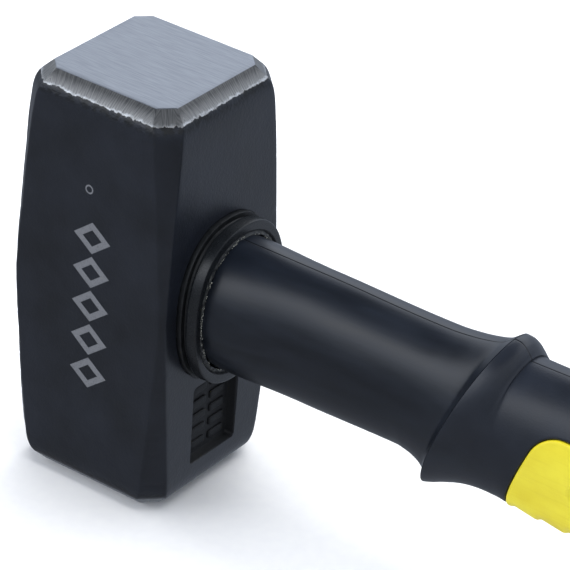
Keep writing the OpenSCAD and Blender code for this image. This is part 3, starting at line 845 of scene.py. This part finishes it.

# Moulded yellow soft rubber, with lay lines along the flow.
yellow, put, shader, place = start_material("moulded_yellow_soft_rubber")
LAY_TURN = math.radians(23)
mapped = put("ShaderNodeMapping", place, into={
    "Rotation": (0, LAY_TURN, 0), "Scale": (1 / 14, 1 / 2, 1 / 0.55)})
lay = put("ShaderNodeTexNoise", mapped, into={"Scale": 1.0, "Detail": 3.0})
patch = grain(put, place, 8, 3)
tone = put(blend, put(span, patch, 0.3, 0.7), into={6: srgb("d7c619"), 7: srgb("e3d62b")},
           data_type="RGBA", out=2)
tone = put(blend, put(span, lay, 0.5, 0.8, 0.0, 0.35), into={6: tone, 7: srgb("c9b614")},
           data_type="RGBA", out=2)
wear(shader, put, tone, put(span, lay, 0.3, 0.7, 0.42, 0.52),
     put(math_node, lay, 0.05, put(math_node, grain(put, place, 0.5), 0.02, operation="MULTIPLY"),
         operation="MULTIPLY_ADD"))
insert.data.materials.append(yellow)
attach(insert, "root")
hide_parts("grip_insert")

# ---- Butt cap -------------------------------------------------------------------------------
# Hard polypropylene end piece, flared so that the hand can't slide off, with a round hole
# across it for a hook. Each end of the hole opens on a small flat with a rounded rim.
HANG_D, HANG_FLAT = 9.0, 13.3
cap_rings = []
for t in (0, 0.25, 0.5, 0.75, 0.9, 1):
    edge_in = math.sqrt(1 - t ** 6 * 0.55)
    full = math.sin(math.pi / 2 * min(1, 2 * t))
    cap_rings.append((CAP_X + (BUTT_X - CAP_X) * t, (BUTT_H - 3 + 3 * full) / 2 * edge_in,
                      (BUTT_W - 1.5 + 1.5 * full) / 2 * edge_in, -DROP, 0))
stations = np.concatenate([np.arange(CAP_X + 0.15, BUTT_X - 4, 0.45),
                           np.arange(BUTT_X - 4, BUTT_X - 0.05, 0.25)])
grid_x, grid_turn = np.meshgrid(stations, turn, indexing="ij")
cap_skin = handle_skin(cap_rings, grid_x, grid_turn)
centre = np.array([0, 0, MID_Z - DROP])
first, last = cap_skin[0], cap_skin[-1]
start_lip = (first - centre) * (1, 0.96, 0.97) + centre - np.array([0.12, 0, 0])
dome = [(last - centre) * (1, s, s) + centre + np.array([0.3 * (1 - s * s) ** 0.5 + 0.02, 0, 0])
        for s in (0.985, 0.95, 0.88, 0.75, 0.55, 0.3, 0.05)]
cap_skin = np.concatenate([[start_lip], cap_skin, dome])
cap_skin[..., 2] -= MOULD_LINE * np.exp(-(cap_skin[..., 1] / 0.14) ** 2) * np.sign(cap_skin[..., 2] - MID_Z)
cap = outward(mesh_piece("butt_cap_end", cap_skin.reshape(-1, 3), ring_faces(len(cap_skin), TURNS), sharp=40))
hole = []
bore = [(HANG_D / 2, 0), (HANG_D / 2, 11.6), (HANG_D / 2 + 0.15, 12.3), (HANG_D / 2 + 0.5, 12.9),
        (HANG_D / 2 + 1.1, 13.25), (HANG_D / 2 + 1.8, HANG_FLAT), (HANG_D / 2 + 3.0, HANG_FLAT + 0.02),
        (HANG_D / 2 + 3.3, HANG_FLAT + 0.5), (HANG_D / 2 + 3.8, HANG_FLAT + 4)]
bore = [(r, -y) for r, y in bore[:0:-1]] + bore
for r, y in bore:
    hole += [((CAP_X + BUTT_X) / 2 + r * math.cos(a), y, MID_Z - DROP + r * math.sin(a))
             for a in np.linspace(0, 2 * np.pi, 72, endpoint=False)]
carve(cap, outward(mesh_piece("hole_cutter", hole, ring_faces(len(bore), 72))))
cap.data.set_sharp_from_angle(angle=math.radians(35))
cap.data.materials.clear()
cap.data.materials.append(polypropylene)
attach(cap, "root")
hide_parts("butt_cap")

# ---- Studio ---------------------------------------------------------------------------------
# A wide pale floor under soft light: two square lamps and a room that is brighter at the rear
# and at the front left. The camera stands about 35 degrees round from the marked cheek and 31
# degrees above the handle.
FLOOR_HALF, FLOOR_Z = 3000, -0.05
floor = mesh_piece("studio_floor", [(-FLOOR_HALF, -FLOOR_HALF, FLOOR_Z), (FLOOR_HALF, -FLOOR_HALF, FLOOR_Z),
                                    (FLOOR_HALF, FLOOR_HALF, FLOOR_Z), (-FLOOR_HALF, FLOOR_HALF, FLOOR_Z)],
                   [(0, 1, 2, 3)])
paper, put, shader, place = start_material("matt_white_paper")
fibre = grain(put, place, 3, 3)
wear(shader, put, put(blend, put(span, fibre, 0.3, 0.7), into={6: srgb("f7f7f8"), 7: srgb("fafafa")},
                      data_type="RGBA", out=2), put(span, fibre, 0.3, 0.7, 0.88, 0.95),
     put(math_node, fibre, 0.01, operation="MULTIPLY"))
floor.data.materials.append(paper)
floor.visible_glossy = False    # the black finishes mirror the dim studio, not the paper

ROUND, ABOVE, ROLL_BY = math.radians(34.72), math.radians(30.92), math.radians(3.77)
ASIDE, SUNK, AWAY = 0.03375, 0.00578, 0.8898     # the lens from the middle of the head, in metres
FOCAL_MM = 230.56
level = Vector((math.cos(ROUND), math.sin(ROUND), 0))
behind = Vector((math.sin(ROUND) * math.cos(ABOVE), -math.cos(ROUND) * math.cos(ABOVE), math.sin(ABOVE)))
upright = behind.cross(level)
right = math.cos(ROLL_BY) * level + math.sin(ROLL_BY) * upright
above = -math.sin(ROLL_BY) * level + math.cos(ROLL_BY) * upright
at = Vector((0, 0, MID_Z * MM)) + right * ASIDE - above * SUNK + behind * AWAY
camera = bpy.data.objects.new("camera", bpy.data.cameras.new("camera"))
camera.data.lens = FOCAL_MM
camera.data.clip_start = 0.05
camera.matrix_world = Matrix.Translation(at) @ Matrix((right, above, behind)).transposed().to_4x4()
bpy.context.collection.objects.link(camera)
bpy.context.scene.camera = camera

room = bpy.data.worlds.new("studio_room")
room.use_nodes = True
put = partial(add, room.node_tree)
toward = put("ShaderNodeTexCoord")
rearward = put("ShaderNodeSeparateXYZ", toward, out="Y")
height = put(math_node, put("ShaderNodeSeparateXYZ", toward, out="X"), -0.15,
             put("ShaderNodeSeparateXYZ", toward, out="Z"), operation="MULTIPLY_ADD")
upper = put("ShaderNodeValToRGB", height)
SKY = ((0.0, "5f646d"), (0.3, "b9c2d0"), (0.55, "edf1f8"), (0.7, "dfe4ec"), (0.8, "464b54"), (1.0, "4d525a"))
stops = upper.node.color_ramp.elements
stops[0].color, stops[1].color = srgb(SKY[0][1]), srgb(SKY[-1][1])
for spot, code in SKY[1:-1]:
    stops.new(spot).color = srgb(code)
below = put(blend, put(span, rearward, -0.2, 0.8), into={6: srgb("83878f"), 7: srgb("8a919d")},
            data_type="RGBA", out=2)
sky = put(blend, put(span, height, -0.15, 0.1), into={6: below, 7: upper}, data_type="RGBA", out=2)
glow = put(span, rearward, 0.3, 0.8, 1.0, 1.9)
window = put("ShaderNodeVectorMath", toward, (-0.49, -0.5, 0.71), operation="DOT_PRODUCT", out=1)
glow = put(math_node, put(span, window, 0.72, 0.97, 0.0, 2.1), glow, operation="ADD")
room.node_tree.links.new(sky, room.node_tree.nodes["Background"].inputs["Color"])
room.node_tree.links.new(glow, room.node_tree.nodes["Background"].inputs["Strength"])
bpy.context.scene.world = room
bpy.context.scene.view_settings.view_transform = "Standard"


def softbox(name, place, aim, size, watts):
    """A square area light at place, pointing at aim."""
    lamp = bpy.data.lights.new(name, "AREA")
    lamp.size, lamp.energy = size, watts
    stand = bpy.data.objects.new(name, lamp)
    facing = (Vector(place) - Vector(aim)).to_track_quat("Z", "Y").to_matrix().to_4x4()
    stand.matrix_world = Matrix.Translation(place) @ facing
    stand.visible_glossy = False      # the soft reflections come from the room itself
    bpy.context.collection.objects.link(stand)


softbox("overhead", (0.1, 0.3, 1.5), (0.06, 0, 0.05), 1.4, 30)
softbox("front_left", (-1.0, -1.0, 1.0), (0.05, 0, 0.05), 0.8, 4)
